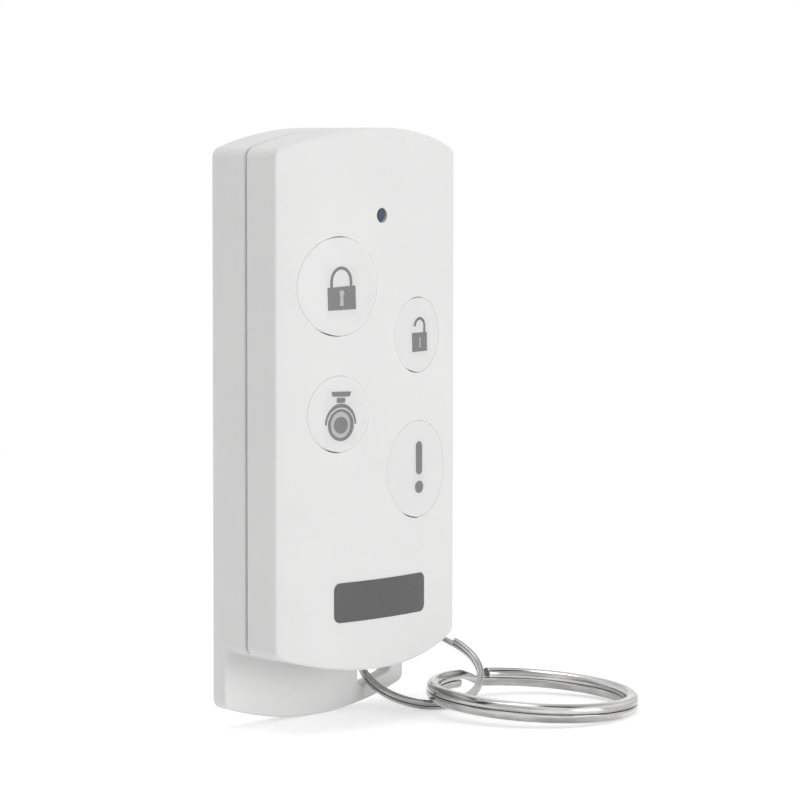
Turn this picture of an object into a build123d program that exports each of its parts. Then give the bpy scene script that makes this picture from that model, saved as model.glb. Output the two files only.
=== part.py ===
from build123d import *
import math
import os

# A key fob for an alarm: a two-shell housing with four buttons and a status light, and
# two linked split rings through the eyelet in its foot. All lengths are millimetres.
# The origin is the centre of the battery cover, on the flat back. +X points right as
# seen from the front, +Y out of the back and +Z up the fob. A depth is a distance
# forward from the back, so the face is at the depth body_depth, at -Y.

# Housing outline: straight sides between two flat arches, and a foot below the body
body_width = 36.0
body_depth = 15.8
body_height = 76.15
foot_drop = 8.15
foot_thickness = 2.8
end_radius = 54.0
face_radius = 56.7
corner_radius = 1.5
inner_corner_radius = 0.6
face_edge_radius = 0.5
back_edge_radius = 0.5
foot_edge_radius = 0.35

# Walls, and the seam between the two shells
wall = 1.6
back_wall = 1.8
seam_depth = 6.9
seam_gap = 0.45
rim_radius = 0.3
tongue_thickness = 0.7
tongue_length = 1.4
fit_gap = 0.1
snap_length = 6.0
snap_height = 0.3
snap_thickness = 0.6
snap_row = 20.0
overrun = 1.0

# Eyelet for the rings, in the lower right corner of the foot
eyelet_left = 8.6
eyelet_side_margin = 2.6
eyelet_lower_margin = 2.3
eyelet_top_clearance = 0.2
eyelet_corner_radius = 1.0
eyelet_edge_radius = 0.45

# Buttons, in two columns, and the status light above them
button_column = 7.9
large_button_diameter = 13.7
small_button_diameter = 10.6
lock_row = 20.15
unlock_row = 12.8
camera_row = 2.4
alarm_row = -6.35
button_gap = 0.12
button_edge_radius = 0.1
button_travel = 0.4
flange_width = 0.9
flange_thickness = 0.8
flange_gap = 0.1
stem_diameter = 3.0
cap_wall = 1.1
light_row = 29.9
light_diameter = 2.1
light_gap = 0.05
light_flange_width = 0.7
light_flange_thickness = 0.8
light_led_gap = 0.6
light_recess = 0.25

# Circuit board and what is soldered to it
board_thickness = 1.0
board_clearance = 0.5
board_bottom = -25.0
post_diameter = 3.0
post_column = 14.0
upper_post_row = 31.5
lower_post_row = -20.0
switch_size = 5.2
switch_height = 1.7
switch_corner = 0.6
plunger_diameter = 2.6
plunger_gap = 0.1
plunger_proud = 0.6
plunger_depth = 0.7
led_length = 1.6
led_width = 0.8
led_height = 0.7
radio_chip_size = 5.0
controller_chip_size = 6.0
chip_height = 0.9
chip_row = 24.0
chip_column = 5.5
crystal_length = 3.2
crystal_width = 2.5
crystal_height = 0.8
crystal_row = 31.0
antenna_row = 36.5
antenna_half_length = 9.0
antenna_height = 2.2
antenna_wire = 0.7
antenna_bend = 0.9
component_length = 1.6
component_width = 0.8
component_height = 0.6
component_pitch = 3.2
component_row = -14.0
component_count = 5

# Coin cell, its holder and contacts
cell_diameter = 20.0
cell_thickness = 3.2
cell_row = 3.5
cell_edge_radius = 0.4
cell_step = 1.2
cell_step_height = 0.3
holder_gap = 0.3
holder_wall = 1.3
holder_lip = 0.8
holder_ledge = 1.2
contact_thickness = 0.3
contact_width = 6.0
contact_reach = 3.0
leaf_length = 9.0

# Battery cover in the back, hooked at its top end and screwed at its bottom end
cover_width = 26.0
cover_height = 36.0
cover_thickness = 1.0
cover_corner_radius = 2.5
cover_gap = 0.15
cover_ledge = 1.3
hook_width = 10.0
hook_length = 0.9
hook_thickness = 0.7
cover_rib_gap = 0.3
cover_rib_width = 1.0
cover_rib_length = 12.0
cover_rib_pitch = 6.0
screw_row = -14.7
screw_head_diameter = 3.2
screw_diameter = 1.6
screw_slot_width = 0.5
screw_slot_depth = 0.35
screw_clearance = 0.1
screw_boss_diameter = 4.8
screw_boss_clearance = 1.0

# How the depth that the stacked pieces leave over is shared out between them
behind_cell_share = 0.46
behind_board_share = 0.24

# Split rings: two turns of half-round wire, flat sides together, and the climb between them
turn_gap = 0.1
wire_end_gap = 0.25
climb_steps = 6
small_ring_diameter = 18.95
small_wire_width = 0.96
small_ring_height = 1.47
small_wire_rounding = 0.4
small_wire_flat_rounding = 0.08
small_climb_start_angle = 41.0
small_climb_end_angle = 76.0
large_ring_diameter = 30.8
large_wire_width = 1.95
large_ring_height = 2.7
large_wire_rounding = 0.75
large_wire_flat_rounding = 0.14
large_climb_start_angle = 113.0
large_climb_end_angle = 134.5

# How the rings lie: where the small ring threads the eyelet, measured from the eyelet's
# left side and the foot's lowest point, which way each ring leads away, and the link
ring_pass_inset = 2.0
ring_pass_depth = 1.6
ring_pass_rise = 5.15
small_ring_heading_angle = -27.7
small_ring_slope_angle = -0.7
small_ring_roll_angle = -28.5
link_angle = 265.4
link_gap = 0.185
large_ring_heading_angle = -43.5
large_ring_slope_angle = -3.3
large_ring_roll_angle = -0.6

os.makedirs("parts", exist_ok=True)

# Places that follow from those sizes
total_height = body_height + foot_drop
top = total_height / 2
foot_bottom = -total_height / 2
body_bottom = top - body_height
back_rim_depth = seam_depth - seam_gap / 2
front_rim_depth = seam_depth + seam_gap / 2
tongue_end_depth = seam_depth + tongue_length
tallest_chip = max(chip_height, crystal_height, component_height)
stack_thickness = cover_thickness + cell_thickness + tallest_chip + board_thickness + switch_height
stack_thickness += plunger_proud + flange_thickness + flange_gap + wall
stack_spare = body_depth - stack_thickness
cell_back_depth = cover_thickness + behind_cell_share * stack_spare
cell_front_depth = cell_back_depth + cell_thickness
board_back_depth = cell_front_depth + tallest_chip + behind_board_share * stack_spare
board_front_depth = board_back_depth + board_thickness
boss_end_depth = board_back_depth - tallest_chip - screw_boss_clearance
switch_top_depth = board_front_depth + switch_height
stem_end_depth = switch_top_depth + plunger_proud
face_axis = (0, face_radius - body_depth)
post_places = [(side * post_column, row) for side in (-1, 1) for row in (upper_post_row, lower_post_row)]
buttons = {
    "lock": (-button_column, lock_row, large_button_diameter),
    "unlock": (button_column, unlock_row, small_button_diameter),
    "camera": (-button_column, camera_row, small_button_diameter),
    "alarm": (button_column, alarm_row, large_button_diameter),
}


def at_depth(depth):
    """The plane parallel to the back, that far forward of it; its x is X and its y is Z."""
    return Plane.XZ.offset(depth)


def body_outline(depth, inset, bottom):
    """The housing's outline at a depth, drawn in by inset; the lower arch has its lowest point at bottom."""
    half = body_width / 2 - inset
    radius = end_radius - inset
    rise = math.sqrt(radius**2 - half**2)
    upper_side = top - end_radius + rise
    lower_side = bottom + end_radius - rise
    with BuildSketch(at_depth(depth)) as outline:
        with BuildLine():
            Line((-half, lower_side), (-half, upper_side))
            ThreePointArc((-half, upper_side), (0, top - inset), (half, upper_side))
            Line((half, upper_side), (half, lower_side))
            ThreePointArc((half, lower_side), (0, bottom + inset), (-half, lower_side))
        make_face()
        fillet(outline.vertices(), inner_corner_radius if inset else corner_radius)
    return outline.sketch


def behind_face(skin):
    """All that lies behind the curved face, less a skin of that thickness."""
    with BuildPart() as inner:
        with BuildSketch(Plane.XY.offset(foot_bottom)):
            with Locations(face_axis):
                Circle(face_radius - skin)
        extrude(amount=total_height)
    return inner.part


def moulded_block(start, inset, skin):
    """The body's outline, drawn in by inset, from the depth start to a skin under the curved face."""
    with BuildPart() as block:
        extrude(body_outline(start, inset, body_bottom), amount=body_depth - start)
        add(behind_face(skin), mode=Mode.INTERSECT)
    return block.part


def round_block(place, diameter, start, skin):
    """A round boss at an (x, z) place, from the depth start to a skin under the curved face."""
    with BuildPart() as boss:
        with BuildSketch(at_depth(start)):
            with Locations(place):
                Circle(diameter / 2)
        extrude(amount=body_depth - start)
        add(behind_face(skin), mode=Mode.INTERSECT)
    return boss.part


def snap_places():
    """The (side, z) places of the four snaps on the long sides of the seam."""
    return [(side, row) for side in (-1, 1) for row in (-snap_row, snap_row)]


def snap_bar(reach, clearance):
    """Draw the four snap bars, reaching that far out from the tongue, grown by a clearance."""
    outer_face = body_width / 2 - wall + tongue_thickness
    for side, row in snap_places():
        with Locations((side * (outer_face + (reach - tongue_thickness / 2) / 2), row)):
            Rectangle(reach + tongue_thickness / 2, snap_length + 2 * clearance)


# Front shell: a thin skin behind the curved face, with the button and light openings
snap_start_depth = tongue_end_depth - 1.5 * snap_thickness
with BuildPart() as front_shell:
    add(moulded_block(front_rim_depth, 0, 0))
    curved_face = front_shell.faces().filter_by(GeomType.CYLINDER).sort_by(SortBy.AREA)[-1]
    fillet(curved_face.edges(), face_edge_radius)
    rim_face = front_shell.faces().sort_by(Axis.Y)[-1]
    fillet(rim_face.edges(), rim_radius)
    add(moulded_block(front_rim_depth, wall, wall), mode=Mode.SUBTRACT)
    rebate = body_outline(front_rim_depth, wall - tongue_thickness - fit_gap, body_bottom)
    extrude(rebate, amount=tongue_end_depth - front_rim_depth, mode=Mode.SUBTRACT)
    with BuildSketch(at_depth(snap_start_depth - fit_gap)):
        snap_bar(snap_height + fit_gap, fit_gap)
    extrude(amount=snap_thickness + 2 * fit_gap, mode=Mode.SUBTRACT)
    for place in post_places:
        add(round_block(place, post_diameter, board_front_depth, wall / 2))
    for x, z, diameter in buttons.values():
        with BuildSketch(at_depth(board_front_depth)):
            with Locations((x, z)):
                Circle(diameter / 2 + button_gap)
        extrude(amount=body_depth, mode=Mode.SUBTRACT)
    with BuildSketch(at_depth(board_front_depth)):
        with Locations((0, light_row)):
            Circle(light_diameter / 2)
    extrude(amount=body_depth, mode=Mode.SUBTRACT)
front_shell.part.label = "front_shell"
export_step(front_shell.part, "parts/front_shell.step")


# Back shell: a shallow tray whose back plate runs on downwards as the foot
with BuildPart() as back_shell:
    extrude(body_outline(0, 0, body_bottom), amount=back_rim_depth)
    tray_rim = back_shell.faces().sort_by(Axis.Y)[0]
    fillet(tray_rim.edges(), rim_radius)
    extrude(body_outline(0, 0, foot_bottom), amount=foot_thickness)
    back_face = back_shell.faces().sort_by(Axis.Y)[-1]
    fillet(back_face.edges(), back_edge_radius)
    foot_front = back_shell.faces().filter_by(Axis.Y).sort_by(Axis.Z)[0]
    fillet(foot_front.edges().sort_by(Axis.Z)[:-1], foot_edge_radius)

    # The tongue that the front shell slides over, with its snaps, and the hollow inside
    tongue = body_outline(back_wall, wall - tongue_thickness, body_bottom)
    extrude(tongue, amount=tongue_end_depth - back_wall)
    with BuildSketch(at_depth(snap_start_depth)):
        snap_bar(snap_height, 0)
    extrude(amount=snap_thickness)
    extrude(body_outline(back_wall, wall, body_bottom), amount=body_depth, mode=Mode.SUBTRACT)

    # The eyelet stands beside the foot's edge, and its lower side follows the foot's arch
    eyelet_right = body_width / 2 - eyelet_side_margin
    eyelet_top = body_bottom - eyelet_top_clearance
    eyelet_tall = eyelet_top - foot_bottom
    with BuildSketch(at_depth(0)) as eyelet:
        with Locations(((eyelet_left + eyelet_right) / 2, eyelet_top - eyelet_tall / 2)):
            Rectangle(eyelet_right - eyelet_left, eyelet_tall)
        with Locations((0, foot_bottom + end_radius)):
            Circle(end_radius - eyelet_lower_margin, mode=Mode.INTERSECT)
        fillet(eyelet.vertices(), eyelet_corner_radius)
    extrude(amount=foot_thickness, mode=Mode.SUBTRACT)
    eyelet_box = back_shell.edges().filter_by_position(Axis.X, eyelet_left, eyelet_right)
    eyelet_box = eyelet_box.filter_by_position(Axis.Z, foot_bottom, eyelet_top)
    eyelet_box = eyelet_box.filter_by(lambda edge: abs(edge.bounding_box().size.Y) < overrun)
    fillet(eyelet_box, eyelet_edge_radius)

    # The seat of the battery cover, the opening inside it and the gap for its hook
    with BuildSketch(at_depth(0)):
        RectangleRounded(cover_width + 2 * cover_gap, cover_height + 2 * cover_gap, cover_corner_radius)
    extrude(amount=cover_thickness, mode=Mode.SUBTRACT)
    opening_width = cover_width - 2 * cover_ledge
    opening_height = cover_height - 2 * cover_ledge
    with BuildSketch(at_depth(0)):
        RectangleRounded(opening_width, opening_height, cover_corner_radius - cover_ledge)
    extrude(amount=back_wall, mode=Mode.SUBTRACT)

    # The boss that takes the cover's screw, joined to the opening's edge, and the board's posts
    web_end = -cover_height / 2
    with BuildSketch(at_depth(cover_thickness)):
        with Locations((0, screw_row)):
            Circle(screw_boss_diameter / 2)
        with Locations((0, (screw_row + web_end) / 2)):
            Rectangle(screw_boss_diameter, screw_row - web_end)
    extrude(amount=boss_end_depth - cover_thickness)
    with BuildSketch(at_depth(cover_thickness)):
        with Locations((0, screw_row)):
            Circle(screw_diameter / 2)
    extrude(amount=boss_end_depth - cover_thickness - wall / 2, mode=Mode.SUBTRACT)
    with BuildSketch(at_depth(back_wall)):
        with Locations(*post_places):
            Circle(post_diameter / 2)
    extrude(amount=board_back_depth - back_wall)
back_shell.part.label = "back_shell"
export_step(back_shell.part, "parts/back_shell.step")


# Battery cover: a flat plate with a hook at its top end and ribs over the cell
with BuildPart() as battery_cover:
    with BuildSketch(at_depth(0)):
        RectangleRounded(cover_width, cover_height, cover_corner_radius)
    extrude(amount=cover_thickness)
    hook_root = opening_height / 2 - fit_gap
    with BuildSketch(at_depth(cover_thickness)):
        with Locations((0, hook_root - hook_length / 2)):
            Rectangle(hook_width, hook_length)
    extrude(amount=back_wall - cover_thickness + fit_gap + hook_thickness)
    with BuildSketch(at_depth(back_wall + fit_gap)):
        with Locations((0, hook_root)):
            Rectangle(hook_width, 2 * hook_length)
    extrude(amount=hook_thickness)
    with BuildSketch(at_depth(cover_thickness)):
        with Locations((0, cell_row)):
            with GridLocations(cover_rib_pitch, 0, 3, 1):
                Rectangle(cover_rib_width, cover_rib_length)
    extrude(amount=cell_back_depth - cover_thickness - cover_rib_gap)
    with Locations(Plane(origin=(0, 0, screw_row), x_dir=(1, 0, 0), z_dir=(0, 1, 0))):
        CounterSinkHole(
            radius=screw_diameter / 2 + screw_clearance,
            counter_sink_radius=screw_head_diameter / 2 + screw_clearance,
            depth=cover_thickness,
        )
battery_cover.part.label = "battery_cover"
export_step(battery_cover.part, "parts/battery_cover.step")


# Countersunk screw of the battery cover, with a straight slot
head_height = (screw_head_diameter - screw_diameter) / 2
with BuildPart() as cover_screw:
    with BuildSketch(Plane.YZ):
        with BuildLine():
            Polyline(
                (-fit_gap / 2, screw_row),
                (-fit_gap / 2, screw_row + screw_head_diameter / 2),
                (-fit_gap / 2 - head_height, screw_row + screw_diameter / 2),
                (wall - boss_end_depth, screw_row + screw_diameter / 2),
                (wall - boss_end_depth, screw_row),
                close=True,
            )
        make_face()
    revolve(axis=Axis((0, 0, screw_row), (0, 1, 0)))
    with BuildSketch(at_depth(fit_gap / 2)):
        with Locations((0, screw_row)):
            Rectangle(screw_head_diameter, screw_slot_width)
    extrude(amount=screw_slot_depth, mode=Mode.SUBTRACT)
cover_screw.part.label = "cover_screw"
export_step(cover_screw.part, "parts/cover_screw.step")


# Circuit board: follows the hollow of the shells, cut straight across its lower end
with BuildPart() as circuit_board:
    extrude(body_outline(board_back_depth, wall + board_clearance, body_bottom), amount=board_thickness)
    with BuildSketch(at_depth(board_back_depth)):
        with Locations((0, (board_bottom + top) / 2)):
            Rectangle(body_width, top - board_bottom)
    extrude(amount=board_thickness, mode=Mode.INTERSECT)
circuit_board.part.label = "circuit_board"
export_step(circuit_board.part, "parts/circuit_board.step")


def chip(name, place, length, width, height):
    """A flat component soldered to the back of the board at an (x, z) place."""
    with BuildPart() as body:
        with BuildSketch(at_depth(board_back_depth - height)):
            with Locations(place):
                Rectangle(length, width)
        extrude(amount=height)
    body.part.label = name
    export_step(body.part, f"parts/{name}.step")


chip("radio_chip", (-chip_column, chip_row), radio_chip_size, radio_chip_size, chip_height)
chip("controller_chip", (chip_column, chip_row), controller_chip_size, controller_chip_size, chip_height)


# Crystal: a can with rounded corners beside the radio chip
with BuildPart() as crystal:
    with BuildSketch(at_depth(board_back_depth - crystal_height)):
        with Locations((-chip_column, crystal_row)):
            RectangleRounded(crystal_length, crystal_width, crystal_width / 4)
    extrude(amount=crystal_height)
crystal.part.label = "crystal"
export_step(crystal.part, "parts/crystal.step")


# Small chip components: a row of like solids under the battery holder
with BuildPart() as chip_components:
    with BuildSketch(at_depth(board_back_depth - component_height)):
        with Locations((0, component_row)):
            with GridLocations(component_pitch, 0, component_count, 1):
                Rectangle(component_width, component_length)
    extrude(amount=component_height)
chip_components.part.label = "chip_components"
export_step(chip_components.part, "parts/chip_components.step")


# Antenna: a wire that stands off the board on two legs, along its upper end
with BuildPart() as antenna:
    with BuildLine(Plane.XY.offset(antenna_row)) as wire_path:
        FilletPolyline(
            (-antenna_half_length, -board_back_depth),
            (-antenna_half_length, antenna_height - board_back_depth),
            (antenna_half_length, antenna_height - board_back_depth),
            (antenna_half_length, -board_back_depth),
            radius=antenna_bend,
        )
    with BuildSketch(Plane(origin=wire_path.line @ 0, z_dir=wire_path.line % 0)):
        Circle(antenna_wire / 2)
    sweep()
antenna.part.label = "antenna"
export_step(antenna.part, "parts/antenna.step")


# Battery holder: a ring with an inner ledge that carries the edge of the cell
holder_inner = cell_diameter / 2 + holder_gap
with BuildPart() as battery_holder:
    with BuildSketch(at_depth(cell_back_depth + holder_lip)):
        with Locations((0, cell_row)):
            Circle(holder_inner + holder_wall)
            Circle(holder_inner, mode=Mode.SUBTRACT)
    extrude(amount=board_back_depth - cell_back_depth - holder_lip)
    with BuildSketch(at_depth(cell_front_depth)):
        with Locations((0, cell_row)):
            Circle(holder_inner + holder_wall / 2)
            Circle(cell_diameter / 2 - holder_ledge, mode=Mode.SUBTRACT)
    extrude(amount=board_back_depth - cell_front_depth)
battery_holder.part.label = "battery_holder"
export_step(battery_holder.part, "parts/battery_holder.step")


# Coin cell: the can, and the smaller cap that faces the board
with BuildPart() as coin_cell:
    with BuildSketch(at_depth(cell_back_depth)):
        with Locations((0, cell_row)):
            Circle(cell_diameter / 2)
    extrude(amount=cell_thickness - cell_step_height)
    fillet(coin_cell.edges().sort_by(Axis.Y)[-1], cell_edge_radius)
    with BuildSketch(at_depth(cell_back_depth)):
        with Locations((0, cell_row)):
            Circle(cell_diameter / 2 - cell_step)
    extrude(amount=cell_thickness)
coin_cell.part.label = "coin_cell"
export_step(coin_cell.part, "parts/coin_cell.step")


def bent_strip(name, points):
    """A sprung strip of even width whose outline is given as (depth, z) points."""
    with BuildPart() as strip:
        with BuildSketch(Plane.YZ):
            with BuildLine():
                Polyline(*[(-depth, z) for depth, z in points], close=True)
            make_face()
        extrude(amount=contact_width / 2, both=True)
    strip.part.label = name
    export_step(strip.part, f"parts/{name}.step")


# Positive contact: stands beside the holder and hooks over the edge of the cell
holder_top = cell_row + holder_inner + holder_wall
cell_reach = cell_row + cell_diameter / 2 - contact_reach
arm_depth = cell_back_depth - contact_thickness
bent_strip(
    "positive_contact",
    [
        (board_back_depth, holder_top + fit_gap),
        (board_back_depth, holder_top + fit_gap + contact_thickness),
        (arm_depth, holder_top + fit_gap + contact_thickness),
        (arm_depth, cell_reach),
        (cell_back_depth, cell_reach),
        (cell_back_depth, holder_top + fit_gap),
    ],
)

# Negative contact: a leaf that rises from the board to the cap of the cell
leaf_start = cell_row - leaf_length / 2
leaf_end = cell_row + leaf_length / 2
bent_strip(
    "negative_contact",
    [
        (board_back_depth, leaf_start),
        (board_back_depth, cell_row),
        (board_back_depth - contact_thickness, cell_row),
        (cell_front_depth + contact_thickness, leaf_end - contact_thickness),
        (cell_front_depth + contact_thickness, leaf_end),
        (cell_front_depth, leaf_end),
        (cell_front_depth, leaf_end - 2 * contact_thickness),
        (board_back_depth - contact_thickness, cell_row - contact_thickness),
        (board_back_depth - contact_thickness, leaf_start),
    ],
)


# Status light: a chip on the board and the lens that carries its light to the face
with BuildPart() as status_led:
    with BuildSketch(at_depth(board_front_depth)):
        with Locations((0, light_row)):
            Rectangle(led_length, led_width)
    extrude(amount=led_height)
status_led.part.label = "status_led"
export_step(status_led.part, "parts/status_led.step")

lens_start_depth = board_front_depth + led_height + light_led_gap
lens_flange_depth = body_depth - wall - light_gap - light_flange_thickness
lens_flange_diameter = light_diameter + 2 * light_flange_width
with BuildPart() as status_lens:
    add(round_block((0, light_row), light_diameter - 2 * light_gap, lens_start_depth, light_recess))
    add(round_block((0, light_row), lens_flange_diameter, lens_flange_depth, wall + light_gap))
status_lens.part.label = "status_lens"
export_step(status_lens.part, "parts/status_lens.step")


# Each button: a hollow cap cut to the curve of the face, a flange under the shell's skin that
# keeps it in its opening, and a stem down to the plunger of its switch
flange_skin = wall + flange_gap
for name, (x, z, diameter) in buttons.items():
    flange_diameter = diameter + 2 * flange_width
    with BuildPart() as button:
        add(round_block((x, z), flange_diameter, board_front_depth, flange_skin))
        add(round_block((x, z), diameter, board_front_depth, 0))
        cap_face = button.faces().filter_by(GeomType.CYLINDER).sort_by(Axis.Y)[0]
        fillet(cap_face.edges(), button_edge_radius)
        under_flange = flange_skin + flange_thickness
        add(
            round_block((x, z), flange_diameter + overrun, board_front_depth, under_flange),
            mode=Mode.SUBTRACT,
        )
        pocket_diameter = diameter - 2 * cap_wall
        add(round_block((x, z), pocket_diameter, board_front_depth, cap_wall), mode=Mode.SUBTRACT)
        add(round_block((x, z), stem_diameter, stem_end_depth, cap_wall / 2))
    button.part.label = f"{name}_button"
    export_step(button.part, f"parts/{name}_button.step")

    with BuildPart() as switch:
        with BuildSketch(at_depth(board_front_depth)) as base:
            with Locations((x, z)):
                Rectangle(switch_size, switch_size)
            chamfer(base.vertices(), switch_corner)
        extrude(amount=switch_height)
        with BuildSketch(at_depth(switch_top_depth - plunger_depth - button_travel - fit_gap)):
            with Locations((x, z)):
                Circle(plunger_diameter / 2 + plunger_gap)
        extrude(amount=switch_height, mode=Mode.SUBTRACT)
    switch.part.label = f"{name}_switch"
    export_step(switch.part, f"parts/{name}_switch.step")

    with BuildPart() as plunger:
        with BuildSketch(at_depth(switch_top_depth - plunger_depth)):
            with Locations((x, z)):
                Circle(plunger_diameter / 2)
        extrude(amount=plunger_depth + plunger_proud)
    plunger.part.label = f"{name}_plunger"
    export_step(plunger.part, f"parts/{name}_plunger.step")


def ring_plane(start, heading, slope, roll, radius):
    """The middle plane of a ring whose wire passes the point start.

    Its x leads from start to the ring's centre, at a heading round Z and a slope above level;
    the roll turns the plane about that direction.
    """
    level = math.cos(math.radians(slope))
    x_dir = Vector(
        level * math.cos(math.radians(heading)),
        level * math.sin(math.radians(heading)),
        math.sin(math.radians(slope)),
    )
    side = Vector(0, 0, 1).cross(x_dir).normalized()
    up = x_dir.cross(side)
    z_dir = up * math.cos(math.radians(roll)) + side * math.sin(math.radians(roll))
    return Plane(origin=start + x_dir * radius, x_dir=x_dir, z_dir=z_dir)


def split_ring(name, place, diameter, wire_width, height, roundings, climb_start_angle, climb_end_angle):
    """Two turns of wire about the plane's z, lower then upper, joined by one climb between two angles."""
    turn_height = (height - turn_gap) / 2
    level = (height - turn_height) / 2
    radius = (diameter - wire_width) / 2
    rounding, flat_rounding = roundings
    axis = Axis(place.origin, place.z_dir)
    end_angle = math.degrees(wire_end_gap / radius)

    def section(angle, raised):
        """The wire's section; raised goes from 0 on the lower turn to 1 on the upper turn."""
        outward = place.x_dir * math.cos(math.radians(angle)) + place.y_dir * math.sin(math.radians(angle))
        centre = place.origin + outward * radius + place.z_dir * level * (2 * raised - 1)
        upper = flat_rounding + raised * (rounding - flat_rounding)
        lower = rounding + raised * (flat_rounding - rounding)
        with BuildSketch(Plane(origin=centre, x_dir=outward, z_dir=outward.cross(place.z_dir))) as wire:
            Rectangle(wire_width, turn_height)
            fillet(wire.vertices().group_by(Axis.Y)[-1], radius=upper)
            fillet(wire.vertices().group_by(Axis.Y)[0], radius=lower)
        return wire.sketch

    full_turn = 360 - (climb_end_angle - climb_start_angle) - end_angle
    climb = []
    for step in range(climb_steps + 1):
        share = step / climb_steps
        ease = share**2 * (3 - 2 * share)
        climb.append(section(climb_start_angle + share * (climb_end_angle - climb_start_angle), ease))
    with BuildPart() as ring:
        revolve(section(climb_end_angle + end_angle, 0), axis=axis, revolution_arc=full_turn)
        revolve(section(climb_end_angle, 1), axis=axis, revolution_arc=full_turn)
        loft(climb)
    ring.part.label = name
    export_step(ring.part, f"parts/{name}.step")


# Small split ring: threads the eyelet and leans on the ground in front of the foot
pass_point = Vector(eyelet_left + ring_pass_inset, -ring_pass_depth, foot_bottom + ring_pass_rise)
small_radius = (small_ring_diameter - small_wire_width) / 2
small_plane = ring_plane(
    pass_point,
    small_ring_heading_angle,
    small_ring_slope_angle,
    small_ring_roll_angle,
    small_radius,
)
split_ring(
    "small_split_ring",
    small_plane,
    small_ring_diameter,
    small_wire_width,
    small_ring_height,
    (small_wire_rounding, small_wire_flat_rounding),
    small_climb_start_angle,
    small_climb_end_angle,
)

# Large split ring: passes through the small one and lies on its wire and on the ground
link_outward = small_plane.x_dir * math.cos(math.radians(link_angle))
link_outward += small_plane.y_dir * math.sin(math.radians(link_angle))
link_point = small_plane.origin + link_outward * small_radius
wire_half_rise = small_wire_rounding
wire_half_rise += abs(link_outward.Z) * (small_wire_width / 2 - small_wire_rounding)
wire_half_rise += abs(small_plane.z_dir.Z) * (small_ring_height / 2 - small_wire_rounding)
link_rise = wire_half_rise + link_gap + large_ring_height / 2
large_radius = (large_ring_diameter - large_wire_width) / 2
large_plane = ring_plane(
    link_point + Vector(0, 0, link_rise),
    large_ring_heading_angle,
    large_ring_slope_angle,
    large_ring_roll_angle,
    large_radius,
)
split_ring(
    "large_split_ring",
    large_plane,
    large_ring_diameter,
    large_wire_width,
    large_ring_height,
    (large_wire_rounding, large_wire_flat_rounding),
    large_climb_start_angle,
    large_climb_end_angle,
)
print("small ring centre", small_plane.origin, "axis", small_plane.z_dir)
print("large ring centre", large_plane.origin, "axis", large_plane.z_dir)
print("eyelet pass", pass_point, "link", link_point, "link rise", link_rise)
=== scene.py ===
# %% [markdown]
# # Dressing a key fob
# The object is a pocket remote for an alarm: a pale plastic housing with four round buttons, a
# tiny status light, and two split rings linked through an eyelet in its foot. The solid model
# was made elsewhere, at real size, and is loaded here as a fixed frame. Everything in this
# lesson is placed by that frame, in metres. It gets finishes, thin prints and finer rings.

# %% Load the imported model
import math

import bmesh
import bpy
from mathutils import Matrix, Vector


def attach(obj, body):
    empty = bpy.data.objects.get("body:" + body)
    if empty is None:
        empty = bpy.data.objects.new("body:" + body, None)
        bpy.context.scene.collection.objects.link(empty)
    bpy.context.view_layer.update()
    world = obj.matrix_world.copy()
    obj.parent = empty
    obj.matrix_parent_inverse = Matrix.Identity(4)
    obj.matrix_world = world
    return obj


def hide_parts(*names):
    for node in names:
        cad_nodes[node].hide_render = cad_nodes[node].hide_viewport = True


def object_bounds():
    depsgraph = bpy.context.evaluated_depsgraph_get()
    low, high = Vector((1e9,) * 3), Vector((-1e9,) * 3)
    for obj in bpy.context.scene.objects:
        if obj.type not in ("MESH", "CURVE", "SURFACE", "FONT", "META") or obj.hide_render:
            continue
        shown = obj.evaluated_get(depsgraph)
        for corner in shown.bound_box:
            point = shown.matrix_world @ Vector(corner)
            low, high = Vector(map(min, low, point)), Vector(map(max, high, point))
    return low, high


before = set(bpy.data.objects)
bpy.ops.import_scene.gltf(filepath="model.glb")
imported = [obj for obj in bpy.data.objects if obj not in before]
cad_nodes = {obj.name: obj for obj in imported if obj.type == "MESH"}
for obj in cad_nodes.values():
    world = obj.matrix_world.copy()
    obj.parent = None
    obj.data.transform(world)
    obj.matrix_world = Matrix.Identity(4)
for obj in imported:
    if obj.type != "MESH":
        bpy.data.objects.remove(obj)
cad_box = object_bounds()
mm = 0.001
short_box = [[round(value, 4) for value in corner] for corner in cad_box]
print("solid pieces:", len(cad_nodes), "box:", short_box)

# %% [markdown]
# ## The camera
# The photograph was taken from about half a metre away with a long lens, a little above the
# middle of the fob and from its left front corner. A long lens keeps the upright edges nearly
# parallel. A small lens shift moves the fob to the left and up in the picture without turning
# the camera.

# %% Place the camera
def add_object(name, data):
    """A new object that is linked to the scene."""
    made = bpy.data.objects.new(name, data)
    bpy.context.scene.collection.objects.link(made)
    return made


camera_data = bpy.data.cameras.new("product_camera")
camera_data.lens = 147.02
camera_data.shift_x = 0.084
camera_data.shift_y = -0.0795
camera_data.sensor_width = 36
camera_data.clip_start = 0.01
camera = add_object("product_camera", camera_data)
camera.location = (-0.32884, -0.33363, 0.04057)
camera_pitch = -3.46
camera_heading = 45.11
camera.rotation_euler = (math.radians(90 + camera_pitch), 0, math.radians(-camera_heading))
bpy.context.scene.camera = camera
print("camera at", tuple(camera.location))

# %% [markdown]
# ## Writing shaders as sums
# A node tree is easier to read as an expression, so one small class wraps the output of a
# shader node. Numbers meet in Math nodes, and colours and directions in Vector Math nodes,
# because a Math node would turn a colour grey. Every other node comes from `Flow.node`, which
# takes the node's type, its settings and what goes into its sockets.

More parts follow.
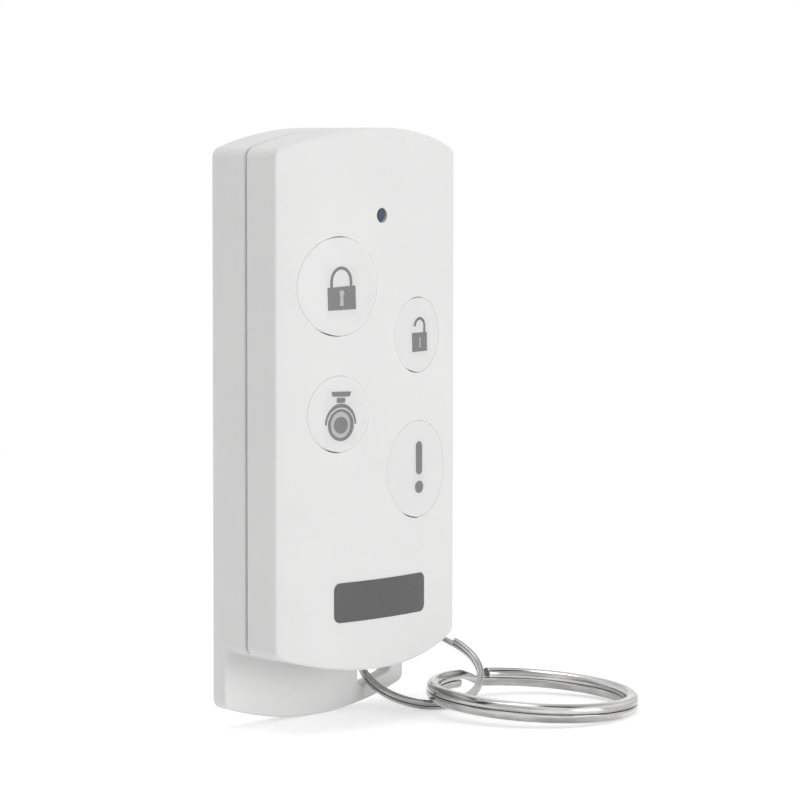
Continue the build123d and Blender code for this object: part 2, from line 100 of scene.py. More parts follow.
# %% A socket with Python's operators
class Flow:
    """One output of a shader node."""

    def __init__(self, tree, socket=None):
        self.tree = tree
        self.socket = socket

    def node(self, kind, settings=None, sockets=None, output=0):
        made = self.tree.nodes.new(kind)
        for name, value in (settings or {}).items():
            setattr(made, name, value)
        for name, value in (sockets or {}).items():
            if isinstance(value, Flow):
                self.tree.links.new(value.socket, made.inputs[name])
            else:
                made.inputs[name].default_value = value
        return Flow(self.tree, made.outputs[output] if len(made.outputs) else None)

    @staticmethod
    def is_number(value):
        if isinstance(value, Flow):
            return value.socket.type == "VALUE"
        return isinstance(value, (int, float))

    def combine(self, operation, first, second):
        settings = {"operation": operation}
        if self.is_number(first) and self.is_number(second):
            return self.node("ShaderNodeMath", settings, {0: first, 1: second})
        sides = {}
        for socket, value in enumerate((first, second)):
            sides[socket] = (value,) * 3 if isinstance(value, (int, float)) else value
        return self.node("ShaderNodeVectorMath", settings, sides)

    def __add__(self, other):
        return self.combine("ADD", self, other)

    def __radd__(self, other):
        return self.combine("ADD", other, self)

    def __sub__(self, other):
        return self.combine("SUBTRACT", self, other)

    def __rsub__(self, other):
        return self.combine("SUBTRACT", other, self)

    def __mul__(self, other):
        return self.combine("MULTIPLY", self, other)

    def __rmul__(self, other):
        return self.combine("MULTIPLY", other, self)

    def __truediv__(self, other):
        return self.combine("DIVIDE", self, other)

    def __rtruediv__(self, other):
        return self.combine("DIVIDE", other, self)

    def __pow__(self, other):
        return self.combine("POWER", self, other)

    def __abs__(self):
        return self.node("ShaderNodeMath", {"operation": "ABSOLUTE"}, {0: self})

    def at_least(self, other):
        return self.combine("MAXIMUM", self, other)

    def part(self, letter):
        return self.node("ShaderNodeSeparateXYZ", None, {0: self}, letter)

    def rise(self, low, high):
        """0 below low, 1 above high, and a smooth step between them."""
        settings = {"interpolation_type": "SMOOTHSTEP"}
        sockets = {"Value": self, "From Min": low, "From Max": high}
        return self.node("ShaderNodeMapRange", settings, sockets)

    def blend(self, low, high):
        """A colour between two colours, with this value as the share of the second."""
        sockets = {0: self, 6: low, 7: high}
        return self.node("ShaderNodeMix", {"data_type": "RGBA"}, sockets, 2)


def highest(flows):
    """The largest of several values at each point."""
    top = flows[0]
    for flow in flows[1:]:
        top = top.at_least(flow)
    return top


def grey(level, warmth=0.0):
    """A linear grey with its alpha; a positive warmth gives a little more red than blue."""
    return (level * (1 + warmth), level, level * (1 - warmth), 1)


print("shader class ready:", Flow.__name__)

# %% [markdown]
# ## One way to make any finish
# Every piece's own origin is the frame's origin, so a finish starts with the place of each
# point in the frame, in metres, and a grain of a tenth of a millimetre is that size on every
# piece. The changing values go to the colour, the roughness and the bump, and what is the same
# all over is set on the shader itself.

# %% Helpers that start and end a material
def empty_tree(owner):
    """Empties the node tree of a material or of the world, and gives a Flow to start from."""
    owner.use_nodes = True
    owner.node_tree.nodes.clear()
    return Flow(owner.node_tree)


def start_finish(name):
    """A new material, and the place of each point on its pieces."""
    material = bpy.data.materials.new(name)
    return material, empty_tree(material).node("ShaderNodeTexCoord", output="Object")


def noise(place, size, detail=2.0, rough=0.5):
    """Cloudy noise from 0 to 1 whose features are about that many millimetres wide."""
    sockets = {"Vector": place, "Scale": 1 / (size * mm), "Detail": detail, "Roughness": rough}
    return place.node("ShaderNodeTexNoise", None, sockets)


def end_finish(material, place, colour, roughness, grain, depth, strength, **fixed):
    """Feeds a Principled shader; grain is a height from 0 to 1, and depth is in millimetres."""
    bump = {"Height": grain, "Distance": depth * mm, "Strength": strength}
    normal = place.node("ShaderNodeBump", None, bump)
    sockets = {"Base Color": colour, "Roughness": roughness, "Normal": normal}
    sockets.update({name.replace("_", " "): value for name, value in fixed.items()})
    shader = place.node("ShaderNodeBsdfPrincipled", None, sockets)
    place.node("ShaderNodeOutputMaterial", None, {"Surface": shader})
    return material


def dress(material, *names):
    """Gives CAD nodes a finish."""
    for name in names:
        mesh = cad_nodes[name].data
        mesh.materials.clear()
        mesh.materials.append(material)
    print(material.name, "->", ", ".join(names))


# %% [markdown]
# ## The housing's plastic
# The two shells and the battery cover are one pale, slightly warm plastic. Its mould was spark
# eroded, which leaves a very fine even grain and a silky, not glossy, surface. The colour
# hardly varies: a faint cloudiness is all that moulded plastic of this kind shows. A little
# light travels inside it. The walls of the narrow gaps round the buttons get a faint painted
# glow, an emission that stands in for that light, from just below the face's edge to about
# three millimetres down. Each gap has one short stretch at its foot that gets no glow and is
# painted dark instead, a painted shade, and the upper two also have one at their top.

# %% Painted light and shade in the gaps round the buttons
# All lengths in this cell are in millimetres.
face_radius = 56.7
face_depth = 15.8
gap_width = 0.12

# Each circle is its centre, across and up, and its radius.
button_circles = {
    "lock": ((-7.9, 20.15), 6.85),
    "unlock": ((7.9, 12.8), 5.3),
    "camera": ((-7.9, 2.4), 5.3),
    "alarm": ((7.9, -6.35), 6.85),
}
upper_buttons = ("lock", "unlock")
left_buttons = ("lock", "camera")

# These depths below the face are where the painted glow and the painted dark begin, and
# where both end.
lit_from = (0.01, 0.08)
dark_from = (0.0, 0.03)
gap_end = (2.5, 3.0)

# These distances from the gap's middle are how far the painted glow and the painted dark
# reach.
lit_reach = (0.10, 0.22)
dark_reach = (0.14, 0.20)

# The painted dark stretch lies at this angle, counted from the right. The pairs say where on
# the way there, with the rim at 1, the dark begins and where it is full.
dark_angle = math.radians(257)
foot_stretch = (0.966, 1.0)
top_stretch = (0.98, 1.01)
top_darkness = 0.75

# The painted glow's strength; on the left buttons it grows towards their right.
plain_glow = 0.65
extra_glow = 0.2
see_through = {
    "Subsurface_Weight": 0.25,
    "Subsurface_Radius": (1.0, 1.0, 1.0),
    "Subsurface_Scale": 0.6 * mm,
}


def painted_gap_masks(place):
    """Where the gap walls round each button get painted light, and where painted shade."""
    across = place.part("X") / mm
    up = place.part("Z") / mm
    below = (face_radius**2 - across**2) ** 0.5 - (face_radius - face_depth) + place.part("Y") / mm
    above_end = 1 - below.rise(*gap_end)
    lit_depth = above_end * below.rise(*lit_from)
    dark_depth = above_end * below.rise(*dark_from)
    lit, dark = [], []
    for button, ((x, z), radius) in button_circles.items():
        aside = (across - x) / radius
        above = (up - z) / radius
        off = abs((aside**2 + above**2) ** 0.5 * radius - radius - gap_width / 2)
        towards_dark = aside * math.cos(dark_angle) + above * math.sin(dark_angle)
        shadow = towards_dark.rise(*foot_stretch)
        if button in upper_buttons:
            shadow = shadow.at_least(above.rise(*top_stretch) * top_darkness)
        glow = plain_glow
        if button in left_buttons:
            glow = plain_glow + extra_glow * aside.rise(-0.2, 0.8)
        # Painted light: a glow in the emission. Painted shade: the dark stretches in the colour.
        lit.append((1 - off.rise(*lit_reach)) * lit_depth * (1 - shadow) * glow)
        dark.append((1 - off.rise(*dark_reach)) * dark_depth * shadow)
    return highest(lit), highest(dark)


def paint_gap_light_and_shade(place, colour):
    """The colour, painted dark in stretches, and the shader's settings for the painted glow."""
    lit, dark = painted_gap_masks(place)
    glow = lit.blend(grey(0.0), grey(0.21))
    settings = {"Emission_Color": glow, "Emission_Strength": 1.0, **see_through}
    return dark.blend(colour, grey(0.01)), settings


print("circles:", ", ".join(button_circles))

# %% Housing plastic
def housing_plastic():
    material, place = start_finish("housing_plastic")
    clouds = noise(place, 14, 3)
    fine = noise(place, 0.16, 3, 0.6)
    mottle = (clouds * 0.6 + fine * 0.4).rise(0.3, 0.7)
    plain = mottle.blend(grey(0.795, 0.002), grey(0.83, 0.004))
    roughness = 0.40 + fine * 0.10 + clouds * 0.05
    # The gap walls get a painted glow and painted dark stretches.
    colour, inner = paint_gap_light_and_shade(place, plain)
    return end_finish(material, place, colour, roughness, fine, 0.012, 0.35, IOR=1.46, **inner)


dress(housing_plastic(), "front_shell", "back_shell", "battery_cover")

# %% [markdown]
# ## The buttons
# Each button is a separate cap, moulded in a smoother plastic that looks slightly whiter. The
# grey symbols lie under its skin, and a soft shade round them is painted into the colour. That
# painted shade is worked out from the distance to a box round each symbol. A box is its centre
# and its half size, in millimetres.

# %% Button plastic with a painted shade round each symbol
symbol_boxes = [
    ((-7.5, 19.5), (1.8, 2.5)),
    ((8.35, 12.4), (1.3, 1.7)),
    ((-7.7, 1.9), (1.7, 2.8)),
    ((8.2, -6.1), (0.35, 3.0)),
]
shade_reach_squared = 2.2
shade_depth = 0.18


def button_plastic():
    material, place = start_finish("button_plastic")
    across = place.part("X") / mm
    up = place.part("Z") / mm
    shades = []
    for centre, half in symbol_boxes:
        out_across = (abs(across - centre[0]) - half[0]).at_least(0)
        out_up = (abs(up - centre[1]) - half[1]).at_least(0)
        shades.append(1 - (out_across**2 + out_up**2).rise(0.0, shade_reach_squared))
    fine = noise(place, 0.2, 2)
    clouds = noise(place, 6, 2)
    plain = clouds.blend(grey(0.785, 0.002), grey(0.81, 0.003))
    # Painted shade round the symbols.
    shaded = (highest(shades) * shade_depth).blend(plain, grey(0.60))
    roughness = 0.30 + fine * 0.08
    # The gap walls get a painted glow and painted dark stretches.
    colour, inner = paint_gap_light_and_shade(place, shaded)
    return end_finish(material, place, colour, roughness, fine, 0.006, 0.3, IOR=1.46, **inner)


dress(button_plastic(), *(f"{key}_button" for key in button_circles))

# %% [markdown]
# ## Prints that follow the curved face
# The symbols and the plain dark label low on the face are printed flat and thin. Each is drawn
# as a flat outline, filled, cut into narrow upright strips so that it can bend, and laid on
# the face's cylinder with a hair's breadth of thickness. It is sunk in a little, so that no
# light gets under it. All lengths are in millimetres.

# %% Lay a flat outline on the curved face
strip_width = 0.3
ink_thickness = 0.03
pale_thickness = 0.02
label_thickness = 0.05
sunk = 0.01


def ellipse(centre, half, start=0.0, end=360.0, steps=48):
    """Points of an ellipse or of an arc of one."""
    is_whole = start % 360 == end % 360
    points = []
    for step in range(steps if is_whole else steps + 1):
        angle = math.radians(start + (end - start) * step / steps)
        x = centre[0] + half[0] * math.cos(angle)
        points.append((x, centre[1] + half[1] * math.sin(angle)))
    return points


def face_y(x, lift):
    """The face's Y at x, lifted off the surface."""
    return -(math.sqrt((face_radius + lift) ** 2 - x * x) - face_radius + face_depth)


def filled_outlines(name, loops):
    """A flat mesh in X and Z from closed outlines; an outline inside another one is a hole."""
    curve = bpy.data.curves.new(name, "CURVE")
    curve.dimensions = "2D"
    curve.fill_mode = "BOTH"
    for loop in loops:
        spline = curve.splines.new("POLY")
        spline.points.add(len(loop) - 1)
        for point, (x, z) in zip(spline.points, loop):
            point.co = (x, z, 0, 1)
        spline.use_cyclic_u = True
    holder = bpy.data.objects.new(name, curve)
    mesh = bpy.data.meshes.new_from_object(holder)
    bpy.data.objects.remove(holder)
    bpy.data.curves.remove(curve)
    return mesh


def print_on_face(name, loops, body, material, slot, thickness=ink_thickness):
    """Lays closed outlines on the curved face as one thin print."""
    mesh = filled_outlines(name, loops)
    bm = bmesh.new()
    bm.from_mesh(mesh)
    left = min(v.co.x for v in bm.verts)
    right = max(v.co.x for v in bm.verts)
    for cut in range(1, int((right - left) / strip_width) + 1):
        geometry = bm.verts[:] + bm.edges[:] + bm.faces[:]
        spot = (left + cut * strip_width, 0, 0)
        bmesh.ops.bisect_plane(bm, geom=geometry, plane_co=spot, plane_no=(1, 0, 0))
    bmesh.ops.triangulate(bm, faces=bm.faces[:])
    top = bmesh.ops.extrude_face_region(bm, geom=bm.faces[:])
    raised = {v for v in top["geom"] if isinstance(v, bmesh.types.BMVert)}
    for vertex in bm.verts:
        x, z = vertex.co.x, vertex.co.y
        y = face_y(x, thickness if vertex in raised else -sunk)
        vertex.co = (x * mm, y * mm, z * mm)
    bmesh.ops.recalc_face_normals(bm, faces=bm.faces[:])
    bm.to_mesh(mesh)
    bm.free()
    mesh.materials.append(material)
    piece = add_object(name, mesh)
    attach(piece, body)
    print(name, len(mesh.polygons), "faces on", body)


# %% [markdown]
# The ink of the symbols is a mid grey with a faint mottle, because it is seen through the
# button's skin. A paler grey fills the keyholes and the glass of the camera: a painted shade
# for the blur round the symbols. The label is darker, a plain satin grey.

# %% Inks
def ink(name, low, high, rough):
    material, place = start_finish(name)
    mottle = noise(place, 0.25, 3, 0.6)
    colour = mottle.rise(0.35, 0.65).blend(grey(low), grey(high))
    return end_finish(material, place, colour, rough + mottle * 0.08, mottle, 0.004, 0.2, IOR=1.46)


symbol_ink = ink("symbol_ink", 0.19, 0.215, 0.42)
painted_shade_ink = ink("painted_shade_ink", 0.47, 0.51, 0.40)
label_ink = ink("label_ink", 0.088, 0.102, 0.38)
print("inks:", symbol_ink.name, painted_shade_ink.name, label_ink.name)

# %% [markdown]
# ## The four symbols
# A closed padlock, an open padlock, a dome camera and an exclamation mark. These are common
# signs for what the buttons do. The outlines are in millimetres on the face.

# %% Closed padlock
def keyhole(x, low, high, half):
    """A round head on a stem that widens towards its foot."""
    head = ellipse((x, high - half), (half, half), -55, 235, 16)
    foot = half * 0.8
    return head + [(x - foot, low), (x + foot, low)]


def shackle(x, half, low, top, wire):
    """A loop of even wire with a round top, as one outline; low is its left and right foot."""
    bend = top - half * 1.12
    inside = half - wire
    outer = ellipse((x, bend), (half, top - bend), 0, 180, 24)
    inner = ellipse((x, bend), (inside, top - wire - bend), 180, 0, 24)
    left_foot = [(x - half, low[0]), (x - inside, low[0])]
    return [(x + half, low[1])] + outer + left_foot + inner + [(x + inside, low[1])]


lock_body = [(-9.84, 16.84), (-5.0, 16.94), (-5.13, 20.25), (-9.95, 20.0)]
lock_hole = keyhole(-7.52, 17.46, 19.65, 0.44)
print_on_face("lock_symbol_body", [lock_body, lock_hole], "lock_key", symbol_ink, "button")
# The keyhole is filled with painted shade.
print_on_face("lock_symbol_hole", [lock_hole], "lock_key", painted_shade_ink, "button", pale_thickness)
lock_shackle = shackle(-7.585, 1.9, (20.0, 20.1), 22.93, 0.43)
print_on_face("lock_symbol_shackle", [lock_shackle], "lock_key", symbol_ink, "button")

# %% Open padlock
unlock_body = [(6.58, 10.4), (10.17, 10.42), (10.09, 13.1), (6.5, 13.1)]
unlock_hole = keyhole(8.36, 10.98, 12.42, 0.2)
unlock_plate = [unlock_body, unlock_hole]
print_on_face("unlock_symbol_body", unlock_plate, "unlock_key", symbol_ink, "button")
# The open padlock's keyhole gets painted shade too.
keyhole_shade_print = ("unlock_key", painted_shade_ink, "button", pale_thickness)
print_on_face("unlock_symbol_hole", [unlock_hole], *keyhole_shade_print)
open_bend = (8.31, 13.95)
open_outer = [(9.71, 13.08)] + ellipse(open_bend, (1.4, 1.37), 0, 176, 22)
open_inner = ellipse(open_bend, (0.95, 0.97), 176, 0, 22) + [(9.19, 13.08)]
open_shackle = open_outer + open_inner
print_on_face("unlock_symbol_shackle", [open_shackle], "unlock_key", symbol_ink, "button")

# %% Dome camera
mount_plate = [(-9.25, 5.58), (-9.2, 5.2), (-9.05, 4.9), (-6.2, 4.8), (-6.0, 5.06), (-5.93, 5.5)]
neck = [(-8.4, 4.01), (-6.97, 3.97), (-6.9, 4.66), (-8.36, 4.72)]
hood_top = ellipse((-7.67, 0.95), (2.69, 2.93), 0, 180, 40)
hood_under = ellipse((-7.67, 0.94), (2.41, 2.38), 180, 0, 40)
ring_rim = ellipse((-7.64, 0.89), (2.23, 2.235))
glass_rim = ellipse((-7.73, 0.915), (1.68, 1.82))
lens_rim = ellipse((-7.69, 0.87), (1.22, 1.185))
for name, loops in (
    ("camera_symbol_mount", [mount_plate]),
    ("camera_symbol_neck", [neck]),
    ("camera_symbol_hood", [hood_top + hood_under]),
    ("camera_symbol_ring", [ring_rim, glass_rim]),
    ("camera_symbol_lens", [lens_rim]),
):
    print_on_face(name, loops, "camera_key", symbol_ink, "button")
# The camera's glass gets painted shade.
glass = [glass_rim, lens_rim]
print_on_face("camera_symbol_glass", glass, "camera_key", painted_shade_ink, "button", pale_thickness)

# %% Exclamation mark
bar_top = ellipse((8.19, -3.17), (0.765, 0.77), 0, 180, 20)
bar_foot = ellipse((8.22, -6.55), (0.73, 0.61), 180, 360, 20)
dot = ellipse((8.245, -8.93), (0.985, 0.885))
print_on_face("alarm_symbol_bar", [bar_top + bar_foot], "alarm_key", symbol_ink, "button")
print_on_face("alarm_symbol_dot", [dot], "alarm_key", symbol_ink, "button")

# %% [markdown]
# ## The plain label
# Low on the face is a small dark label. It is left blank, a plain rectangle with rounded
# corners.

# %% Label
def rounded_rectangle(centre, half, radius):
    corners = [(1, 1, 0), (-1, 1, 90), (-1, -1, 180), (1, -1, 270)]
    points = []
    for side, level, start in corners:
        x = centre[0] + side * (half[0] - radius)
        z = centre[1] + level * (half[1] - radius)
        points += ellipse((x, z), (radius, radius), start, start + 90, 8)
    return points


label_outline = rounded_rectangle((0.31, -24.02), (9.15, 2.79), 1.0)
print_on_face("face_label", [label_outline], "housing", label_ink, "shell", label_thickness)

# %% [markdown]
# ## The status light
# The light guide is a small rod of smoky blue plastic whose end lies a little below the face.
# Its left edge is painted dark, a painted shade for the hole's shade. At the right, a painted
# pale crescent that is widest at the lower right stands in for light from the hole's wall.
# Both are drawn by the distance from a point a little beside the guide's middle,
# in millimetres.

# %% Light guide
light_height = 29.9
# Centres of the painted shade and of the painted light.
shade_centre = (0.22, 0.0)
painted_light_centre = (-0.22, 0.14)


def tinted_lens():
    material, place = start_finish("tinted_lens")
    across = place.part("X") / mm
    up = place.part("Z") / mm - light_height

    def distance(centre):
        return ((across - centre[0]) ** 2 + (up - centre[1]) ** 2) ** 0.5

    speck = noise(place, 0.3, 2)
    smoke = speck.blend((0.034, 0.046, 0.100, 1), (0.044, 0.056, 0.110, 1))
    # Painted shade at the left edge.
    shade = distance(shade_centre).rise(0.74, 0.9) * (1 - across.rise(-0.15, 0.15))
    # Painted light: the pale crescent at the right.
    at_right = across.rise(0.0, 0.25) * (1 - up.rise(-0.9, 1.2))
    painted_light_crescent = distance(painted_light_centre).rise(1.02, 1.12) * at_right
    shaded = shade.blend(smoke, (0.006, 0.008, 0.020, 1))
    colour = painted_light_crescent.blend(shaded, grey(0.33))
    gloss = {"Coat_Weight": 0.3, "IOR": 1.5}
    return end_finish(material, place, colour, 0.14 + speck * 0.06, speck, 0.004, 0.2, **gloss)


dress(tinted_lens(), "status_lens")

# %% [markdown]
# ## The split rings
# Each ring is half-round spring wire, bright nickel plated, wound in two turns that lie flat
# side to flat side. The solid model has them in their places. Here the same windings are
# built finer, with a domed section, because a mirror shows every flat spot. Every point of the
# winding also keeps its distance along the wire and round the section, for the finish. All
# lengths are in millimetres.

# %% The wire's section
corner_steps = 9


def wire_section(width, height, raised):
    """Points (outwards, up) of the section; raised is 0 on the lower turn, 1 on the upper."""
    dome = (0.92 * width / 2, 0.66 * height)
    flat = (0.15, 0.13)
    upper = [flat[i] + raised * (dome[i] - flat[i]) for i in (0, 1)]
    lower = [dome[i] + raised * (flat[i] - dome[i]) for i in (0, 1)]
    quarters = ((1, 1, upper, 0), (-1, 1, upper, 90), (-1, -1, lower, 180), (1, -1, lower, 270))
    points = []
    for side, level, (out, up), start in quarters:
        x = side * (width / 2 - out)
        z = level * (height / 2 - up)
        for step in range(corner_steps):
            angle = math.radians(start + 90 * step / (corner_steps - 1))
            points.append((x + out * math.cos(angle), z + up * math.sin(angle)))
    return points


print("points in a section:", len(wire_section(2, 1, 1)))

# %% Two turns and the climb between them
turn_gap = 0.1
end_room = 0.25
wire_map = "wire"


def wound_ring(name, node, body, centre, heading, slope, axis, size, climb, material, end_material):
    """Winds wire about an axis.

    Heading and slope give the direction of angle 0. Size is the outer diameter, the wire's
    width and the height of both turns. Climb is the two angles between which the wire goes
    from the lower turn to the upper one; its ends are there too.
    """
    diameter, width, height = size
    turn_height = (height - turn_gap) / 2
    level = (height - turn_height) / 2
    radius = (diameter - width) / 2
    turned, tilted = math.radians(heading), math.radians(slope)
    level_part = math.cos(tilted)
    along = Vector((level_part * math.cos(turned), level_part * math.sin(turned), math.sin(tilted)))
    up = Vector(axis).normalized()
    across = up.cross(along).normalized()
    start, stop = climb
    first = stop + math.degrees(end_room / radius)
    last = start + 720 - math.degrees(end_room / radius)
    stations = int(last - first) + 1
    bm = bmesh.new()
    distances = bm.loops.layers.uv.new(wire_map)
    rows = []
    for station in range(stations + 1):
        turn = first + (last - first) * station / stations
        share = min(max((turn - start - 360) / (stop - start), 0), 1)
        raised = share * share * (3 - 2 * share)
        angle = math.radians(turn)
        outward = along * math.cos(angle) + across * math.sin(angle)
        middle = Vector(centre) + outward * radius + up * level * (2 * raised - 1)
        section = wire_section(width, turn_height, raised)
        rows.append([bm.verts.new((middle + outward * x + up * z) * mm) for x, z in section])
    count = len(rows[0])
    length = math.radians((last - first) / stations) * radius
    girth = [0.0]
    upper_section = wire_section(width, turn_height, 1)
    for here, there in zip(upper_section, upper_section[1:] + upper_section[:1]):
        girth.append(girth[-1] + math.dist(here, there))
    for station, (row, following) in enumerate(zip(rows, rows[1:])):
        for spot in range(count):
            beside = (spot + 1) % count
            face = bm.faces.new((row[spot], row[beside], following[beside], following[spot]))
            face.smooth = True
            corners = ((0, 0), (0, 1), (1, 1), (1, 0))
            for loop, (ahead, aside) in zip(face.loops, corners):
                loop[distances].uv = ((station + ahead) * length, girth[spot + aside])
    for row in (rows[0], list(reversed(rows[-1]))):
        bm.faces.new(row).material_index = 1
    bmesh.ops.recalc_face_normals(bm, faces=bm.faces[:])
    mesh = bpy.data.meshes.new(name)
    bm.to_mesh(mesh)
    bm.free()
    mesh.materials.append(material)
    mesh.materials.append(end_material)
    ring = add_object(name, mesh)
    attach(ring, body)
    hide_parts(node)
    print(name, "has", len(mesh.polygons), "faces and stands for", node)


# %% [markdown]
# Drawn wire carries long fine streaks, so the streaks follow the wire: a noise is stretched
# along it. The plate is smooth and a little duller in patches. The thin ring's plate is
# painted darker, a painted shade for the darker reflections it shows. The wire's sheared ends
# aren't plated and look dark.

# %% Nickel plate and cut ends
def nickel_plate(name, low, high):
    material, place = start_finish(name)
    wire = place.node("ShaderNodeUVMap", {"uv_map": wire_map})

    def drawn(along, around, detail, rough):
        """Noise with this many waves for each millimetre along the wire and around it."""
        spot = wire * (along, around, 1.0)
        sockets = {"Vector": spot, "Scale": 1.0, "Detail": detail, "Roughness": rough}
        return wire.node("ShaderNodeTexNoise", None, sockets)

    streaks = drawn(0.07, 3.2, 4.0, 0.6)
    patches = drawn(0.09, 1.1, 3.0, 0.55)
    rub = noise(place, 0.12, 3, 0.6)
    tone = (streaks * 0.45 + patches * 0.55).rise(0.38, 0.62)
    colour = tone.blend(grey(low, 0.006), grey(high, 0.010))
    roughness = 0.09 + patches * 0.10 + rub * 0.05
    return end_finish(material, place, colour, roughness, streaks, 0.006, 0.25, Metallic=1.0)


def cut_steel():
    material, place = start_finish("cut_steel")
    marks = noise(place, 0.25, 3, 0.7)
    colour = marks.rise(0.3, 0.7).blend(grey(0.05), grey(0.17, 0.02))
    return end_finish(material, place, colour, 0.35 + marks * 0.2, marks, 0.02, 0.5, Metallic=1.0)


plate = nickel_plate("nickel_plate", 0.30, 0.66)
# The thin ring's copy of the plate is painted darker, a painted shade.
small_plate = nickel_plate("nickel_plate_painted_darker", 0.20, 0.56)
cut_end = cut_steel()
print("wire finishes:", plate.name, small_plate.name, cut_end.name)

# %% Wind both rings
small_winding = {
    "centre": (18.5635, -5.78094, -37.1099),
    "heading": -27.7,
    "slope": -0.7,
    "axis": (-0.212297, -0.427464, 0.878752),
    "size": (18.95, 0.96, 1.47),
    "climb": (41.0, 76.0),
    "material": small_plate,
    "end_material": cut_end,
}
large_winding = {
    "centre": (24.662, -22.3108, -39.942),
    "heading": -43.5,
    "slope": -3.3,
    "axis": (0.034545, -0.047218, 0.998287),
    "size": (30.8, 1.95, 2.7),
    "climb": (114.5, 134.5),
    "material": plate,
    "end_material": cut_end,
}
wound_ring("small_ring_wire", "small_split_ring", "small_ring", **small_winding)
wound_ring("large_ring_wire", "large_split_ring", "large_ring", **large_winding)
dress(small_plate, "small_split_ring")
dress(plate, "large_split_ring")

# %% [markdown]
# ## Fasteners and what is inside
# The cover's screw shows on the back. The rest lies inside the closed housing, and gets a
# finish of its own kind, so that the model is whole when it is opened.

# %% Metals inside and on the back
def brushed_metal(name, low, high, rough, size):
    material, place = start_finish(name)
    marks = noise(place, size, 4, 0.65)
    colour = marks.rise(0.3, 0.7).blend(low, high)
    roughness = rough + marks * 0.15
    return end_finish(material, place, colour, roughness, marks, 0.006, 0.3, Metallic=1.0)


plated_steel = brushed_metal("plated_steel", grey(0.42), grey(0.58, 0.01), 0.22, 0.3)
spring_strip = brushed_metal("spring_strip", grey(0.50, 0.05), grey(0.66, 0.06), 0.2, 0.5)
dull_copper, bright_copper = (0.60, 0.27, 0.13, 1), (0.78, 0.40, 0.22, 1)
copper_wire = brushed_metal("copper_wire", dull_copper, bright_copper, 0.25, 0.4)
dress(plated_steel, "cover_screw", "coin_cell", "crystal")
dress(spring_strip, "positive_contact", "negative_contact")
dress(copper_wire, "antenna")

# %% Plastics inside
def moulded(name, low, high, rough):
    material, place = start_finish(name)
    grain = noise(place, 0.3, 3)
    colour = grain.rise(0.3, 0.7).blend(low, high)
    return end_finish(material, place, colour, rough + grain * 0.1, grain, 0.008, 0.3)


black_holder = moulded("black_holder", grey(0.022), grey(0.034), 0.45)
chip_package = moulded("chip_package", grey(0.012), grey(0.022), 0.35)
ceramic_parts = moulded("ceramic_parts", grey(0.40, 0.12), grey(0.55, 0.10), 0.4)
switch_case = moulded("switch_case", grey(0.03), grey(0.05), 0.4)
dark_red, light_red = (0.30, 0.015, 0.012, 1), (0.38, 0.02, 0.015, 1)
red_plunger = moulded("red_plunger", dark_red, light_red, 0.35)
dress(black_holder, "battery_holder")
dress(chip_package, "radio_chip", "controller_chip")
dress(ceramic_parts, "chip_components", "status_led")
dress(switch_case, *(f"{key}_switch" for key in button_circles))
dress(red_plunger, *(f"{key}_plunger" for key in button_circles))

# %% [markdown]
# The circuit board is glass fibre under a green varnish. Copper tracks show through as
# slightly lighter lines, drawn with a brick pattern whose mortar is the track. Their pitch is
# in millimetres.

# %% Circuit board
track_pitch = 2.4


def green_board():
    material, place = start_finish("green_board")
    flat = place.node("ShaderNodeCombineXYZ", None, {"X": place.part("X"), "Y": place.part("Z")})
    bricks = {"Vector": flat, "Scale": 1 / (track_pitch * mm), "Mortar Size": 0.035}
    tracks = flat.node("ShaderNodeTexBrick", None, bricks, "Fac")
    weave = noise(place, 0.35, 2)
    base = weave.blend((0.010, 0.085, 0.035, 1), (0.016, 0.115, 0.05, 1))
    colour = tracks.blend(base, (0.03, 0.20, 0.09, 1))
    return end_finish(material, place, colour, 0.28 + weave * 0.1, tracks, 0.03, 0.5)


dress(green_board(), "circuit_board")

# %% [markdown]
# ## Floor, light and background
# The fob stands on a white table in a white room. For the camera, and for what the metal
# mirrors, the room is plain white. What lights the object is a soft even level from all
# sides, a broad lamp in front to the right and a weaker one above. With the Standard view
# transform, a colour renders about as it is written.

# %% Colours as they are written
bpy.context.scene.view_settings.view_transform = "Standard"
print("view transform:", bpy.context.scene.view_settings.view_transform)

# %% Floor
floor_height = cad_box[0][2] - 0.03 * mm
floor_side = 12.0


def flat_rectangle(name, width, height):
    """A single face that looks up, with its object's place in its middle."""
    x, y = width / 2, height / 2
    mesh = bpy.data.meshes.new(name)
    mesh.from_pydata([(-x, -y, 0), (x, -y, 0), (x, y, 0), (-x, y, 0)], [], [(0, 1, 2, 3)])
    return mesh


def is_seen(start):
    """1 for rays from the camera and for those that metal mirrors or glass lets through."""
    outputs = ("Is Camera Ray", "Is Glossy Ray", "Is Transmission Ray")
    return highest([start.node("ShaderNodeLightPath", output=output) for output in outputs])


def white_floor():
    material = bpy.data.materials.new("white_floor")
    start = empty_tree(material)
    seen = is_seen(start)
    place = start.node("ShaderNodeTexCoord", output="Object")
    away = (place.part("X") ** 2 + place.part("Y") ** 2) ** 0.5
    glow = seen.blend(grey(0.12), grey(0.40))
    sockets = {"Base Color": grey(0.86), "Roughness": 0.9}
    sockets.update({"Emission Color": glow, "Emission Strength": 1.0})
    near = start.node("ShaderNodeBsdfPrincipled", None, sockets)
    far = start.node("ShaderNodeEmission", None, {"Color": grey(1.0), "Strength": 1.0})
    share = seen * away.rise(0.10, 0.40)
    both = start.node("ShaderNodeMixShader", None, {0: share, 1: near, 2: far})
    start.node("ShaderNodeOutputMaterial", None, {"Surface": both})
    return material


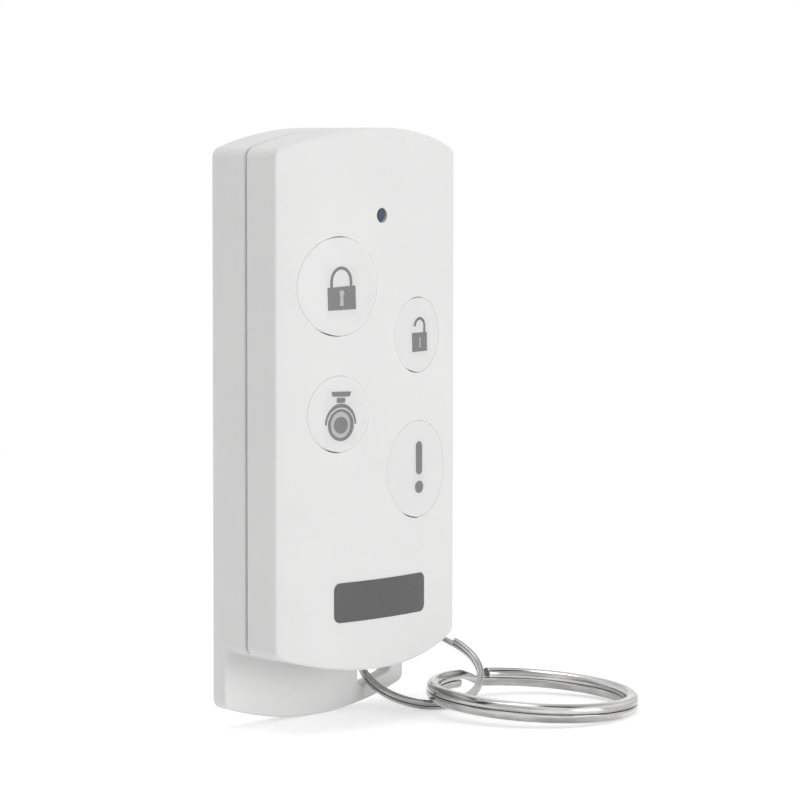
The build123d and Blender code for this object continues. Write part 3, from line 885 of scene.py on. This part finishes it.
floor_mesh = flat_rectangle("table_top", floor_side, floor_side)
floor_mesh.materials.append(white_floor())
floor = add_object("table_top", floor_mesh)
floor.location = (0, 0, floor_height)
print("floor at", round(floor_height, 5))

# %% White room
world = bpy.data.worlds.new("white_room")
bpy.context.scene.world = world
room = empty_tree(world)
room_light = is_seen(room).blend(grey(0.565), grey(1.0))
background = room.node("ShaderNodeBackground", None, {"Color": room_light, "Strength": 1.0})
room.node("ShaderNodeOutputWorld", None, {"Surface": background})
print("room ready")

# %% Lamps
def put(thing, place, aim):
    """Puts a lamp or a card at a place, turned to face another place."""
    thing.location = place
    thing.rotation_euler = (Vector(aim) - Vector(place)).to_track_quat("-Z", "Y").to_euler()
    print(thing.name, "at", place)


def lamp(name, place, size, power):
    data = bpy.data.lights.new(name, "AREA")
    data.shape = "DISK"
    data.size = size
    data.energy = power
    put(add_object(name, data), place, (0, 0, 0))


lamp("front_lamp", (0.3, -1.15, 0.12), 0.7, 4.95)
lamp("top_lamp", (-0.2, 0.1, 1.2), 0.8, 3.9)

# %% [markdown]
# ## Dark cards for the metal
# In an all white room, bright metal looks like white paint. Photographers stand dark cards
# round it. These two only show in reflections: they cast no shadow and the camera doesn't see
# them.

# %% Cards
rings_place = (0, 0, -0.04)
card_level = 0.05


def dark_card(name, place, width, height):
    material = bpy.data.materials.new(name)
    start = empty_tree(material)
    sockets = {"Color": grey(card_level), "Strength": 1.0}
    shade = start.node("ShaderNodeEmission", None, sockets)
    start.node("ShaderNodeOutputMaterial", None, {"Surface": shade})
    mesh = flat_rectangle(name, width, height)
    mesh.materials.append(material)
    card = add_object(name, mesh)
    card.visible_camera = False
    card.visible_diffuse = False
    card.visible_shadow = False
    card.visible_transmission = False
    put(card, place, rings_place)


dark_card("left_card", (-0.5, 0.2, 0.25), 0.35, 0.5)
dark_card("high_card", (0.15, -0.25, 0.6), 0.25, 0.35)

# %% [markdown]
# ## The end

# %% Finish
print("finished")
